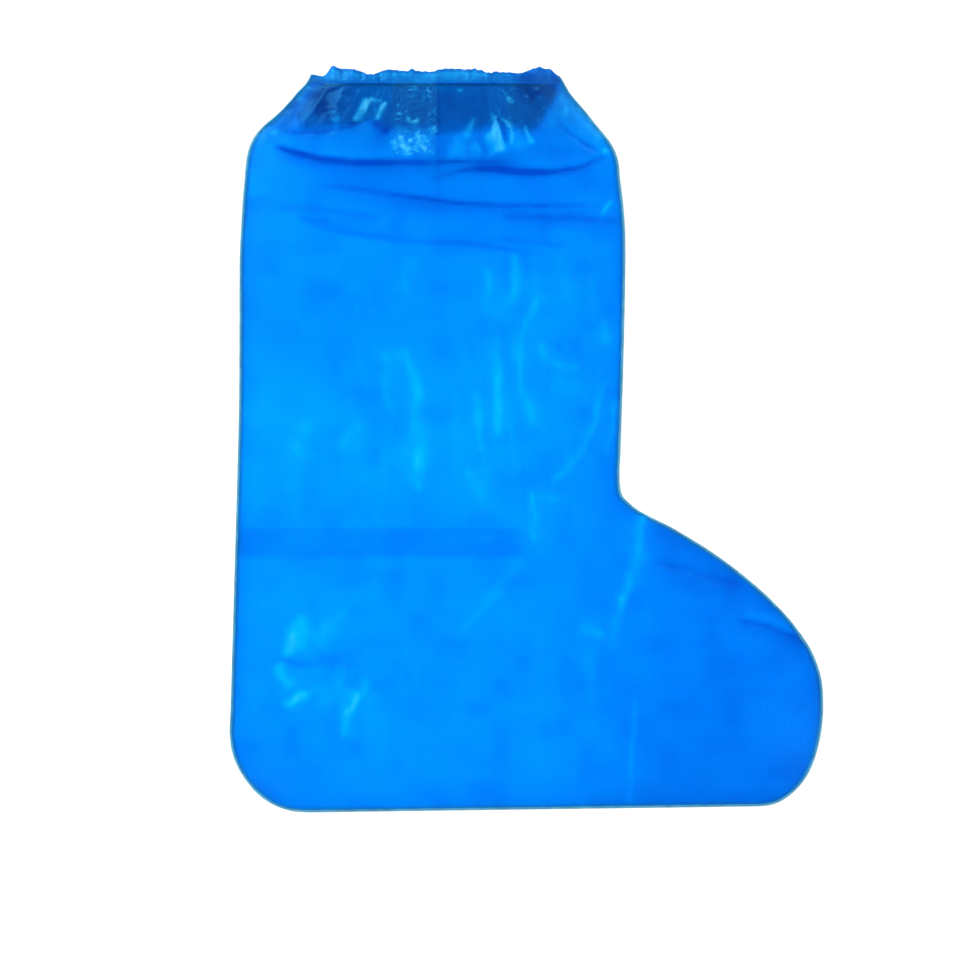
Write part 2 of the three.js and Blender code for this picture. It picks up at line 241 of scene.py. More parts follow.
def lay_out(levels, frill, columns):
    """A boot-shaped sheet seen from above: rows strung from the back edge to the front edge."""
    across = np.linspace(0, 1, columns)
    back = edge_place(back_edge, levels) + FRILL_INSET * frill
    front = edge_place(front_edge, levels) - FRILL_INSET * frill
    x = back[:, None] + (front - back)[:, None] * across
    y = on_boot(x, levels[:, None]) + frill[:, None] * frill_height(across)
    share = np.broadcast_to(across, x.shape)
    inside = near_line(x, y, np.vstack([rim[0], rim, rim[-1]]))[0]
    sides = np.minimum(x - back[:, None], front[:, None] - x)
    inside = np.where(frill[:, None] > 0, np.maximum(sides, 0), inside)
    return {"x": x, "y": y, "across": share, "frill": frill[:, None] + 0 * x, "inside": inside}


LEG_MIDDLE = (167.3, 222.0)
EYE_HEIGHT = 1511.0


def drawn_back(x, y, z):
    """Places of puffed film: the higher it stands, the more it is pulled toward the leg's middle,
    so that it covers the same stretch of table to an eye straight over that middle."""
    pull = z / EYE_HEIGHT
    return x - (x - LEG_MIDDLE[0]) * pull, y - (y - LEG_MIDDLE[1]) * pull


def sheet_of_film(name, sheet, finish, thickness=FILM):
    """Closed thin sheet whose middle is at the height z, with the finishes of its face and back."""
    rows, columns = sheet["x"].shape
    flat = rows * columns
    x, y = drawn_back(sheet["x"].ravel(), sheet["y"].ravel(), sheet["z"].ravel())
    x, y, z = HEEL_X + x / 1000, SOLE_Y + y / 1000, sheet["z"].ravel() / 1000
    half = thickness / 2000
    spots = np.concatenate([np.column_stack([x, y, z + half]), np.column_stack([x, y, z - half])])
    index = np.arange(flat).reshape(rows, columns)
    a, b = index[:-1, :-1].ravel(), index[:-1, 1:].ravel()
    c, d = index[1:, 1:].ravel(), index[1:, :-1].ravel()
    top = np.column_stack([a, b, c, d])
    under = np.column_stack([d, c, b, a]) + flat
    border = np.concatenate([index[0], index[1:-1, -1], index[-1][::-1], index[1:-1, 0][::-1]])
    beyond = np.roll(border, -1)
    side = np.column_stack([border + flat, beyond + flat, beyond, border])
    mesh = bpy.data.meshes.new(name)
    mesh.from_pydata(spots.tolist(), [], np.concatenate([top, under, side]).tolist())
    for kind in ("tone_and_painted_light", "crumple"):
        marks = mesh.attributes.new(kind, "FLOAT", "POINT")
        marks.data.foreach_set("value", np.tile(sheet[kind].ravel(), 2).astype(np.float32))
    mesh.shade_smooth()
    sides = np.zeros(len(mesh.polygons), dtype=np.int32)
    sides[len(top):2 * len(top)] = 1
    mesh.polygons.foreach_set("material_index", sides)
    mesh.materials.append(finish[0])
    mesh.materials.append(finish[1])
    piece = bpy.data.objects.new(name, mesh)
    bpy.context.collection.objects.link(piece)
    return piece


def add_node(tree, kind, **settings):
    """A shader node with settings, where a name that is one of its sockets sets that socket."""
    node = tree.nodes.new("ShaderNode" + kind)
    for key, value in settings.items():
        if hasattr(node, key):
            setattr(node, key, value)
        else:
            node.inputs[key.replace("_", " ")].default_value = value
    return node


def colour_steps(tree, value, steps):
    """A colour that runs through the steps as value goes from 0 to 1."""
    ramp = add_node(tree, "ValToRGB")
    elements = ramp.color_ramp.elements
    while len(elements) < len(steps):
        elements.new(0.5)
    for element, (place, colour) in zip(elements, steps):
        element.position = place
        element.color = (*colour, 1)
    tree.links.new(value, ramp.inputs["Fac"])
    return ramp.outputs["Color"]


def maths(tree, operation, *values):
    """One sum on its values, each a socket or a number."""
    node = add_node(tree, "Math", operation=operation)
    for socket, value in zip(node.inputs, values):
        if isinstance(value, (int, float)):
            socket.default_value = value
        else:
            tree.links.new(value, socket)
    return node.outputs["Value"]


def blended(tree, crumple, colour, crumpled_colour):
    """The colour, with most of it given over to another one where the film is crumpled."""
    mixed = add_node(tree, "Mix", data_type="RGBA")
    tree.links.new(maths(tree, "MULTIPLY", crumple, 0.8), mixed.inputs[0])
    tree.links.new(colour, mixed.inputs[6])
    mixed.inputs[7].default_value = (*crumpled_colour, 1)
    return mixed.outputs[2]


def emboss(tree, height, strength, distance, *shaders):
    """Gives the shaders a fine relief after height, distance metres deep at most."""
    relief = add_node(tree, "Bump", Strength=strength, Distance=distance)
    tree.links.new(height, relief.inputs["Height"])
    for shader in shaders:
        tree.links.new(relief.outputs["Normal"], shader.inputs["Normal"])


def see_through_film(name, clear, body, crumpled_clear, crumpled_body, milk):
    """Face and back of blue film that lets light through. Painted shade on the mesh deepens its tint,
    and painted highlights pale it. clear and body are the colour steps of passed and scattered
    light, and milk is the share scattered. The back only passes light, so that a sheet scatters it
    once."""
    back = bpy.data.materials.new(name + "_back")
    back.use_nodes = True
    tree = back.node_tree
    tree.nodes.clear()
    tone_and_painted_light = add_node(tree, "Attribute", attribute_name="tone_and_painted_light").outputs["Fac"]
    see_through = add_node(tree, "BsdfTransparent")
    share = maths(tree, "MULTIPLY_ADD", tone_and_painted_light, 0.5, 0.5)
    tree.links.new(colour_steps(tree, share, clear), see_through.inputs["Color"])
    output = add_node(tree, "OutputMaterial")
    tree.links.new(see_through.outputs["BSDF"], output.inputs["Surface"])
    film = bpy.data.materials.new(name)
    film.use_nodes = True
    tree = film.node_tree
    tree.nodes.clear()
    link = tree.links.new
    place = add_node(tree, "TexCoord").outputs["Object"]
    tone_and_painted_light = add_node(tree, "Attribute", attribute_name="tone_and_painted_light").outputs["Fac"]
    crumple = add_node(tree, "Attribute", attribute_name="crumple").outputs["Fac"]
    upright = add_node(tree, "Mapping")
    upright.inputs["Scale"].default_value = (1.5, 0.5, 1.0)
    link(place, upright.inputs["Vector"])
    creased = add_node(tree, "TexNoise", Scale=210.0, Detail=2.0, Roughness=0.6)
    link(upright.outputs["Vector"], creased.inputs["Vector"])
    speck = maths(tree, "SUBTRACT", creased.outputs["Fac"], 0.5)
    speck = maths(tree, "MULTIPLY", speck, maths(tree, "MULTIPLY_ADD", crumple, 1.0, 0.2))
    share = maths(tree, "MULTIPLY_ADD", maths(tree, "ADD", tone_and_painted_light, speck), 0.5, 0.5)
    see_through = add_node(tree, "BsdfTransparent")
    passed = blended(tree, crumple, colour_steps(tree, share, clear), crumpled_clear)
    link(passed, see_through.inputs["Color"])
    solid = add_node(tree, "BsdfPrincipled", Roughness=0.4)
    solid.inputs["Specular IOR Level"].default_value = 0.2
    solid.inputs["Specular Tint"].default_value = (0.02, 0.5, 1.0, 1.0)
    scattered = blended(tree, crumple, colour_steps(tree, share, body), crumpled_body)
    link(scattered, solid.inputs["Base Color"])
    gloss = add_node(tree, "BsdfGlossy", Color=(0.04, 0.62, 1.0, 1.0), Roughness=0.2)
    ripple = maths(tree, "MULTIPLY", creased.outputs["Fac"], maths(tree, "ADD", crumple, 0.15))
    emboss(tree, ripple, 0.6, 0.0006, solid, gloss)
    facing = add_node(tree, "LayerWeight", Blend=0.5)
    grazing = maths(tree, "POWER", facing.outputs["Facing"], 5.0)
    shine = maths(tree, "MULTIPLY_ADD", crumple, 0.006, 0.003)
    shine = maths(tree, "MULTIPLY_ADD", grazing, 0.25, shine)
    milky = add_node(tree, "MapRange", From_Min=0.5, To_Min=milk[0], To_Max=milk[1])
    link(share, milky.inputs["Value"])
    layer = add_node(tree, "MixShader")
    link(milky.outputs["Result"], layer.inputs["Fac"])
    link(see_through.outputs["BSDF"], layer.inputs[1])
    link(solid.outputs["BSDF"], layer.inputs[2])
    polished = add_node(tree, "MixShader")
    link(shine, polished.inputs["Fac"])
    link(layer.outputs["Shader"], polished.inputs[1])
    link(gloss.outputs["BSDF"], polished.inputs[2])
    link(polished.outputs["Shader"], add_node(tree, "OutputMaterial").inputs["Surface"])
    return film, back


# Its darker colour steps give painted shade, and its paler ones give painted highlights
azure_film = see_through_film(
    "azure_film",
    clear=[
        (0.0, (0.1, 0.5, 0.8)), (0.5, (0.33, 0.86, 0.965)), (0.68, (0.36, 0.93, 0.98)),
        (1.0, (0.62, 0.97, 1.0)),
    ],
    body=[
        (0.0, (0.0, 0.03, 0.33)), (0.5, (0.0, 0.2, 0.82)), (0.68, (0.0, 0.36, 0.9)),
        (1.0, (0.08, 0.62, 1.0)),
    ],
    crumpled_clear=(0.45, 0.86, 0.88),
    crumpled_body=(0.02, 0.22, 0.5),
    milk=(0.2, 0.55),
)

# Waves of the gathered mouth, from its back to its front: width is a share of the mouth, and rise
# of the gathers' height, as they are pressed into both sheets by the drawn-up elastic
GATHERS = [
    (0.062, 0.5), (0.078, 1.0), (0.062, 0.6), (0.07, 0.9), (0.101, 1.0), (0.093, 0.7),
    (0.116, 1.0), (0.108, 0.8), (0.085, 0.9), (0.07, 0.6), (0.093, 1.0), (0.062, 0.5),
]
GATHER_HEIGHT = 2.0
GATHER_REACH = 95.0
UNDER_FILM = 0.05


def gather_wave(across):
    """Wave of the gathers, from 0 between two of them to their rise at the crests."""
    widths, rises = np.array(GATHERS).T
    ends = np.cumsum(widths) / widths.sum()
    which = np.minimum(np.searchsorted(ends, across, side="right"), len(ends) - 1)
    starts = np.concatenate([[0], ends[:-1]])
    share = np.clip((across - starts[which]) / (ends - starts)[which], 0, 1)
    return rises[which] * (0.5 - 0.5 * np.cos(2 * math.pi * share))


def gathered(sheet, wave):
    """Lift that the gathers give the sheet, fading down the leg and at the welds."""
    near = np.clip(1 - (MOUTH - sheet["y"]) / GATHER_REACH, 0, 1)
    return GATHER_HEIGHT * near**2 * wave * off_weld(sheet)


lower_levels, lower_frill = film_levels(leg_step=3.0, cuff_step=1.4, frill_rows=10)
lower = lay_out(lower_levels, lower_frill, columns=110)
x, y = lower["x"], lower["y"]
lower_wave = gather_wave(1 - lower["across"])
lower["z"] = FILM / 2 + UNDER_FILM + gathered(lower, lower_wave)
frill_waves = 2 * lower_wave * (0.7 + 0.5 * mottle(x, 0 * y, 19, 15))
frill_waves += 0.9 * np.abs(mottle(x, y * 0.2, 4, 12))
lower["z"] += lower["frill"] * off_weld(lower) * frill_waves
lower["z"] += 0.12 * (1 + mottle(x, y, 9, 13)) * off_weld(lower, width=5)
lower["crumple"] = 0.5 * ease(y, 455, 480)

# Random tone over the sheet, and painted shade darkens this sheet's half of the frill, most of all
# at its cut edge and its folded front end
lower["tone_and_painted_light"] = 0.12 * mottle(x, y, 14, 14)
lower["tone_and_painted_light"] -= 0.2 * (lower["frill"] > 0) + 0.9 * ease(lower["frill"], 0.72, 0.92)
lower["tone_and_painted_light"] -= 0.8 * (lower["frill"] > 0) * ease(x, 188, 198)
lower_sheet = sheet_of_film("lower_sheet", lower, azure_film)
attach(lower_sheet, "root")
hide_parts("lower_panel")

# Upper sheet: the same boot shape, puffed by a little air. It keeps the marks of being packed and
# pulled: pressed creases across the leg, stretched ridges down its front, a dent at the heel
# and a vertical and a level fold from its bag. Round the mouth it is drawn into fine pleats.
# Painted shade lies in its creases and folds, and painted highlights lie along its ridges and tucks.
LEG_LOFT, LOFT_REACH = 16.6, 72.0
MOUTH_LOFT, MOUTH_REACH = 17.1, 30.0
EDGE_HEIGHT = 0.45
ELASTIC = 485.3
BAG_FOLD = 139.5


def crease(rise, width, tone_and_painted_light, *course, edge=2, trail=0):
    """One pressed or stretched line: rise and width in mm, painted light from -1, painted shade, to
    1, painted highlight, and the length in mm of its painted light's soft fade to the right of the
    course, or to the left where it is negative."""
    return {
        "rise": rise, "width": width, "tone_and_painted_light": tone_and_painted_light, "course": course, "edge": edge,
        "trail": trail,
    }


# Pressed creases across the leg, with painted shade in them and painted highlights on a few raised
# ones
CREASES_ACROSS_THE_LEG = [
    crease(
        -1.5, (1.5, 2.4, 2.2, 1.7, 1.4, 1.3, 1.0), (-0.7, -1.0, -1.0, -0.7, -0.55, -0.5, -0.1),
        (28, 446), (38.7, 441.6), (50.7, 438.7), (64, 436), (77.3, 434.3),
        (107.3, 433.8), (137.3, 434), (170, 434.3), (197, 433.5), trail=7,
    ),
    crease(
        -1.3, (1.2, 1.5, 2.0, 2.1, 1.7, 1.3), (0.0, -0.4, -0.9, -0.95, -0.6, -0.4),
        (127, 420), (145, 425.5), (160.7, 429.3), (177.3, 429.3), (197.3, 427.7),
        (217.3, 428), (234, 430.7), (246, 435.3), (255.3, 440.7), trail=5,
    ),
    crease(
        -1.1, 1.3, (-0.1, -0.35, -0.6, -0.6, -0.4, -0.1), (52, 420), (90.7, 415.3),
        (124, 410.7), (150.7, 406.9), (190.7, 405.3), (250, 405), trail=9,
    ),
    crease(-0.8, 2.0, -0.34, (180, 398.3), (224, 397), (262, 394.7), trail=9),
    crease(
        -0.8, 1.6, (0, -0.3, -0.2, -0.38, 0), (46.7, 393.5), (90.7, 385.3), (124, 380.7),
        (164, 378.7), (213, 370), trail=-9,
    ),
    crease(-0.5, 2.2, -0.2, (30, 404), (60.7, 402.7), (104, 396), trail=7),
    crease(-0.5, 1.5, -0.3, (45, 397.5), (56, 395), (68, 394)),
    crease(-0.5, 1.3, -0.2, (176, 383), (200, 381), (226, 376.5), trail=-6),
    crease(0.5, 1.3, 0.16, (44, 443.4), (60.7, 440.7), (78, 439)),
    crease(0.5, 2.2, 0.16, (74, 440), (95, 438.8), (114, 440)),
    crease(0.4, 1.7, 0.12, (197, 431.3), (222, 432.4), (243, 437)),
    crease(0.5, 4.0, 0.1, (212.7, 387.3), (242, 384)),
    crease(0.3, 8.0, 0.16, (13, 430), (17, 410)),
    crease(-0.4, 5.0, -0.2, (198, 440.5), (222, 440), (246, 443)),
    crease(0.4, 4.0, 0.22, (191, 455), (195, 441)),
    crease(0.6, 1.4, 0.6, (248.3, 398.7), (256, 409)),
]

# Ridges down the leg, pale with painted highlights
RIDGES_DOWN_THE_LEG = [
    crease(0.7, 3.6, 0.27, (187.3, 377.3), (190.7, 358.7), (188.7, 334.7)),
    crease(0.7, 3.2, 0.27, (172, 365.3), (172, 347.3), (172, 328.7)),
    crease(0.8, 3.3, 0.34, (178.7, 319.3), (178.7, 285.3), (180.7, 246)),
    crease(
        0.8, 3.0, 0.27, (213.3, 348.7), (197.3, 328.7), (193.3, 305.3), (196.7, 278.7), (206, 254),
    ),
    crease(0.7, 2.9, 0.27, (207.3, 317.3), (212.7, 300.7), (235.3, 296.3)),
    crease(0.5, 5.8, 0.16, (214, 285.3), (237.3, 282)),
    crease(0.7, 4.3, 0.27, (246, 329.3), (253, 315.7)),
    crease(0.8, 2.0, 0.27, (251.3, 290.7), (240.7, 255.3), (215.3, 217.3)),
    crease(0.6, 1.7, 0.24, (258.7, 278.7), (250.7, 235.3)),
    crease(0.8, 4.4, 0.34, (116.7, 312.7), (124, 278.7), (125.3, 252), (123.3, 211.3)),
    crease(0.6, 4.0, 0.24, (107.3, 309.3), (105.3, 262.7)),
    crease(0.6, 3.6, 0.18, (122.7, 373.3), (114, 343.3)),
    crease(0.5, 3.6, 0.12, (78.7, 334), (102.7, 334)),
    crease(0.7, 4.3, 0.18, (49.3, 264), (49.3, 233.3)),
    crease(0.7, 3.3, 0.2, (91.3, 262), (72.7, 240)),
    crease(0.6, 2.9, 0.19, (165.3, 284), (167.3, 236.7)),
    crease(0.6, 3.5, 0.14, (157.7, 232), (173, 200)),
    crease(0.8, 2.2, 0.32, (202, 216.7), (203.3, 178)),
    crease(0.5, 3.2, 0.14, (203.3, 209.3), (234, 207.3)),
    crease(-0.5, 6.5, -0.14, (213, 313), (240, 309)),
]

# Creases of the foot and heel, most of them pale with painted highlights, a few dark with painted
# shade
CREASES_OF_THE_FOOT = [
    crease(0.7, 3.3, 0.2, (196.7, 173), (174, 144), (150.7, 113)),
    crease(
        1.0, (2.8, 3.8, 4.4, 3.2), (0.8, 0.65, 0.5, 0.4), (275.3, 205), (272, 176),
        (267, 155), (259, 134),
    ),
    crease(0.7, 2.4, 0.24, (263.3, 146.7), (258.7, 128.7), (254.3, 107.3)),
    crease(0.7, 3.3, 0.3, (233.3, 125), (251.3, 118.3)),
    crease(0.6, 1.6, 0.3, (271.3, 79.3), (268.7, 35.3), (266, 2.7)),
    crease(
        1.2, (2.0, 6.0, 7.0, 5.0, 1.0), (0.32, 0.4, 0.43, 0.45, 0.5), (52, 135), (48, 124),
        (44.7, 115.3), (41, 107), (37, 102), edge=3,
    ),
    crease(0.8, 5.0, 0.3, (79, 136), (68, 122), (56, 109)),
    crease(0.5, 6.0, 0.14, (98, 156), (84, 142), (74, 128)),
    crease(0.8, 3.0, 0.4, (30.7, 100), (35.3, 92), (42, 82.3)),
    crease(0.9, 3.6, 0.44, (37.7, 68.3), (52.3, 80), edge=3),
    crease(0.5, 4.4, 0.22, (50, 84.3), (59, 81), (70.7, 71.3)),
    crease(0.7, 2.8, 0.28, (93.7, 91.7), (85, 76), (76, 64.7)),
    crease(0.8, 4.2, 0.32, (81.7, 84), (80, 70), (77.3, 50)),
    crease(0.5, 3.0, 0.14, (75.7, 99.3), (72, 78)),
    crease(0.5, 3.4, 0.12, (97, 84), (94, 56)),
    crease(0.6, 3.6, 0.12, (157.3, 94), (149.7, 56.7)),
    crease(0.6, 2.9, 0.12, (238.7, 117.3), (242, 70)),
    crease(0.8, 1.9, 0.18, (340, 133.3), (360.7, 129.3), (378, 122.3)),
    crease(-0.9, 1.3, -0.34, (336.3, 129.7), (360.7, 123.3), (389.3, 112), trail=7),
    crease(-0.7, 3.0, -0.22, (278.7, 169.3), (310.7, 160.7), (346, 149), trail=9),
    crease(-1.0, (1.0, 4.0, 7.0), (-0.5, -0.2, -0.12), (35, 100.7), (46, 101), (92, 103)),
]

# Tucks and pleats under the mouth, with painted glints on them and painted shade between them
TUCKS_UNDER_THE_MOUTH = [
    crease(
        1.2, (1.6, 8.2), (0.6, 0.8, 0.6, 0.7), (177.5, 468), (178.4, 451.3), (179.4, 436),
        edge=4,
    ),
    crease(0.9, (0.8, 1.5), 0.5, (180.7, 464), (187.7, 457.3), (187.3, 443)),
    crease(0.8, (0.5, 2.4), 0.63, (197.3, 459.3), (199.3, 452.7), (202.7, 444.7), edge=4),
    crease(
        1.0, (2.2, 3.9), (0.6, 0.9, 0.8), (94, 478.7), (90, 469.3), (84.7, 459.3), edge=4,
    ),
    crease(0.9, (1.3, 1.6), 0.9, (104.7, 475.3), (101.3, 468), (99.3, 460.7), edge=4),
    crease(0.9, (0.7, 3.4), 0.68, (72.7, 471.3), (71.3, 466), (70, 460), edge=4),
    crease(0.7, 1.6, 0.45, (76.7, 479.3), (78.7, 473.3)),
    crease(0.8, 1.0, 0.9, (117.3, 463.3), (122.7, 461.3), (128, 463.3)),
    crease(0.6, 1.3, 0.45, (152, 482), (156.7, 482)),
    crease(0.8, 2.0, 0.59, (186.7, 479.3), (189.3, 472.7)),
    crease(0.6, 1.3, 0.36, (197.3, 478.7), (199.3, 475.3)),
    crease(0.6, 1.3, 0.32, (208, 473.3), (210, 470)),
    crease(0.8, 6.0, 0.38, (144.7, 442), (167.3, 444)),
    crease(0.8, 2.0, 0.41, (165.3, 465.3), (156, 448)),
    crease(0.6, 1.0, 0.5, (93, 477.5), (98, 475.5), (103, 475.3)),
    crease(0.7, 2.4, 1.2, (54.3, 487), (49, 480), (45, 476)),
    crease(0.6, 2.0, 0.63, (29.3, 454), (32.7, 452)),
    crease(0.7, 4.4, 0.2, (47.3, 476.7), (35.3, 463.3), (19.3, 443.3)),
    crease(0.8, 4.4, 0.16, (218, 482), (230.7, 465.3), (248, 444)),
    crease(0.6, 1.4, 0.63, (222, 464), (226.7, 468.7)),
    crease(0.6, 1.3, 0.54, (248.7, 441.3), (254.7, 440.7)),
    crease(0.9, (1.2, 2.6), 0.72, (112.7, 452.7), (116.7, 444), (120.7, 437.3)),
    crease(0.9, (1.0, 1.8), 0.63, (126, 455.3), (127.3, 446.7), (132.7, 442)),
    crease(0.7, 1.6, 0.72, (136, 458.7), (138.7, 453.3)),
    crease(0.7, 1.8, 0.54, (108.7, 448.7), (112, 442)),
    crease(-0.5, 0.9, -1.0, (179.3, 464.3), (182.7, 454.3), (186, 445)),
    crease(-0.9, 1.7, -0.28, (215.3, 464), (235.3, 447.3), (249.3, 439.3)),
    crease(-0.8, 1.7, -0.54, (34, 454.7), (59.3, 454), (78.7, 457.3), (92.7, 460.7)),
    crease(-0.7, 1.6, -0.54, (91.3, 460.7), (100.7, 458), (108.7, 450.7)),
    crease(-0.4, 6.0, (-0.8, -0.8, -0.3), (69, 488), (64, 477), (58, 462)),
    crease(0.6, 7.0, (-0.9, -1.3, -0.9), (194, 493), (204, 487), (209, 474)),
    crease(-0.4, 6.0, -0.26, (144.7, 480.7), (145.3, 452.7)),
    crease(-0.4, 3.6, -0.6, (99.3, 460.7), (106, 452.7)),
]


def along_row(values, along):
    """A row's value, or the run of its even-spaced values, at a share of its course."""
    values = np.atleast_1d(values)
    return np.interp(along, np.linspace(0, 1, len(values)), values)


def press(sheet, rows, wander=0.3, grain=0.0):
    """Presses each row's line into the sheet and paints its shade or highlight onto the film. The
    line strays by wander times its width, and grain breaks its painted light into fine upright
    streaks."""
    for row in rows:
        widths = np.atleast_1d(row["width"])
        reach = max(3 * widths.max(), 2.2 * abs(row["trail"]))
        course = np.array(row["course"])
        low, high = course.min(axis=0) - reach, course.max(axis=0) + reach
        near = (sheet["x"] > low[0]) & (sheet["x"] < high[0])
        near &= (sheet["y"] > low[1]) & (sheet["y"] < high[1])
        x, y = sheet["x"][near], sheet["y"][near]
        stray = wander * widths.mean()
        strayed = x + stray * mottle(x, y, 9, 22), y + stray * mottle(x, y, 9, 23)
        away, along, hand = near_line(*strayed, smooth_line(course))
        width = along_row(widths, along)
        body = np.exp(-((away / width) ** row["edge"]))
        length = np.linalg.norm(np.diff(course, axis=0), axis=1).sum()
        fade = min(0.16, 9 / length)
        ends = within(along, 0, fade, 1 - fade, 1)
        patchy = 1 + 0.35 * mottle(x, y, 8, 21) + grain * mottle(x, y * 0.14, 2.7, 24)
        halo = np.exp(-((away / (2.2 * width)) ** 2))
        if row["trail"]:
            trailing = np.exp(-((away / row["trail"]) ** 2)) * (hand * row["trail"] < 0)
            halo = np.maximum(halo, 2.2 * trailing)
        sheet["z"][near] += row["rise"] * body * ends
        tone_and_painted_light = along_row(row["tone_and_painted_light"], along)
        sheet["tone_and_painted_light"][near] += tone_and_painted_light * ends * (0.8 * body * patchy + 0.2 * halo)


def painted_streaks(sheet, count, seed, places, heights, tone_and_painted_light):
    """Faint upright streaks of painted highlight, a few of painted shade, scattered over places
    along the foot and heights over the sole.
    """
    random = np.random.default_rng(seed)
    for _ in range(count):
        middle = random.uniform(*places), random.uniform(*heights)
        width, length = random.uniform(1.6, 4.5), random.uniform(9, 30)
        lean = random.uniform(-0.25, 0.25)
        off = (sheet["x"] - middle[0] - lean * (sheet["y"] - middle[1])) / width
        run = (sheet["y"] - middle[1]) / length
        sheet["tone_and_painted_light"] += random.uniform(-0.3, 1) * tone_and_painted_light * np.exp(-off * off - run * run)


def pleat(sheet, count, seed, longest, share):
    """Fine pleats that hang from the elastic and fan out down the cuff, with painted highlights and
    shade along them as strong as share says.
    """
    random = np.random.default_rng(seed)
    down = np.clip(MOUTH - sheet["y"], 0, None)
    for _ in range(count):
        middle = random.uniform(0.04, 0.96)
        width = random.uniform(0.004, 0.011)
        length = random.uniform(0.25, 1) * longest
        lean = random.uniform(-0.0012, 0.0012)
        height = random.uniform(-0.35, 0.6)
        tone_and_painted_light = random.uniform(-0.3, 0.3)
        off = (sheet["across"] - middle - lean * down) / width
        line = np.exp(-off * off) * np.exp(-((down / length) ** 2))
        sheet["z"] += height * line
        sheet["tone_and_painted_light"] += share * tone_and_painted_light * np.exp(-3 * off * off) * np.exp(-((down / length) ** 2))


def crumpled(x, y, cell, seed):
    """Sharp-edged crumples from 0 to 1, as film shows where it is squeezed together."""
    return 1 - np.abs(mottle(x, y, cell, seed) + 0.5 * mottle(x, y, cell / 2.1, seed + 1))


upper_levels, upper_frill = film_levels(leg_step=1.85, cuff_step=0.8, frill_rows=15)
upper = lay_out(upper_levels, upper_frill, columns=146)
x, y, across = upper["x"], upper["y"], upper["across"]
inside, frill = upper["inside"], upper["frill"]
drawn = ease(y, SHOULDER, MOUTH - 8)
reach = LOFT_REACH + (MOUTH_REACH - LOFT_REACH) * drawn
top = LEG_LOFT + (MOUTH_LOFT - LEG_LOFT) * drawn
full = np.sin(math.pi / 2 * np.minimum(1, inside / reach))
swell = 1.3 * mottle(x, y, 68, 31) + 0.5 * mottle(x, y, 27, 32)
upper["z"] = EDGE_HEIGHT + (top - EDGE_HEIGHT + swell * (1 - drawn)) * full
# Random tone, a little darker overall, with painted shade over the foot toward the toe and along the
# weld below the cuff
upper["tone_and_painted_light"] = 0.04 * mottle(x, y, 55, 33) + 0.04 * mottle(x, y * 2.4, 21, 34) - 0.065
upper["tone_and_painted_light"] -= 0.27 * ease(x, 200, 330) * (1 - ease(y, 190, 300))
upper["tone_and_painted_light"] -= 0.1 * (1 - ease(inside, 2, 16)) * (1 - ease(y, 425, 445))

# Broad patches of painted light and shade, where swells of the film would catch more or less light:
# middle, half width, half height and painted light
PAINTED_SWELL_LIGHT = [
    (75, 255, 95, 42, 0.1), (145, 421, 106, 21, -0.17), (215, 396, 40, 10, -0.1),
    (12, 270, 12, 120, 0.05), (190, 10, 220, 34, -0.07), (20, 26, 36, 34, -0.13),
    (175, 70, 90, 60, -0.05), (252, 330, 30, 125, -0.09), (120, 443, 110, 9, -0.04),
    (214, 458, 22, 15, -0.14), (130, 340, 112, 72, -0.07), (164, 474, 10, 17, -0.22),
    (81, 474, 6, 15, -0.22), (67, 478, 10, 14, -0.6), (207, 477, 12, 11, -0.35),
]
for along_foot, over_sole, half_width, half_height, tone_and_painted_light in PAINTED_SWELL_LIGHT:
    from_middle = np.hypot((x - along_foot) / half_width, (y - over_sole) / half_height)
    upper["tone_and_painted_light"] += tone_and_painted_light * np.exp(-(from_middle**3))
# Painted highlight streaks over the leg and the foot
painted_streaks(upper, count=46, seed=35, places=(150, 258), heights=(215, 372), tone_and_painted_light=0.14)
painted_streaks(upper, count=26, seed=36, places=(30, 150), heights=(200, 330), tone_and_painted_light=0.09)
painted_streaks(upper, count=26, seed=37, places=(60, 300), heights=(20, 165), tone_and_painted_light=0.06)
upper_wave = gather_wave(across)
upper_wave *= 0.3 + 0.7 * within(across, 0.08, 0.26, 0.76, 0.92)
upper["z"] += gathered(upper, upper_wave)

# The bag's level fold: a step in the film with a band of painted shade under it, sharpest in the
# middle
fold_drop = ease(y, 190, 192.4) * 0.9 - ease(y, 168, 186) * 0.9
fold_seen = within(x, -4, 12, 188, 205)
upper["z"] += 0.5 * fold_drop * fold_seen * full
upper["tone_and_painted_light"] -= 0.24 * within(y, 167, 174, 188.5, 191) * fold_seen

press(upper, CREASES_ACROSS_THE_LEG, wander=0.25)
press(upper, RIDGES_DOWN_THE_LEG, wander=0.7, grain=0.7)
press(upper, CREASES_OF_THE_FOOT, wander=0.6, grain=0.4)
# The painted highlights of the tucks are kept apart, so that the film under them turns cloudier
light_before_tucks = upper["tone_and_painted_light"].copy()
press(upper, TUCKS_UNDER_THE_MOUTH, wander=0.7, grain=0.45)
tuck_highlights = np.clip(upper["tone_and_painted_light"] - light_before_tucks, 0, 1)

# Crumples of the band under the elastic, worst just behind the bag's upright fold: the place along
# the mouth and the share of crumples there
CRUMPLED_PLACES = [
    (40, 0.2), (66, 0.35), (80, 0.35), (86, 0.15), (108, 0.3), (110, 1.0), (138, 1.0), (139, 0.12),
    (170, 0.2), (184, 0.45), (186, 0.75), (214, 0.55), (226, 0.3), (240, 0.1),
]
spots_across, amounts = np.array(CRUMPLED_PLACES).T
crumple_share = np.interp(x, spots_across, amounts)
pleat(upper, count=80, seed=41, longest=34, share=0.15 + 0.5 * crumple_share)
cuff = ease(y, 447, 466) * ease(inside, 6, 16)
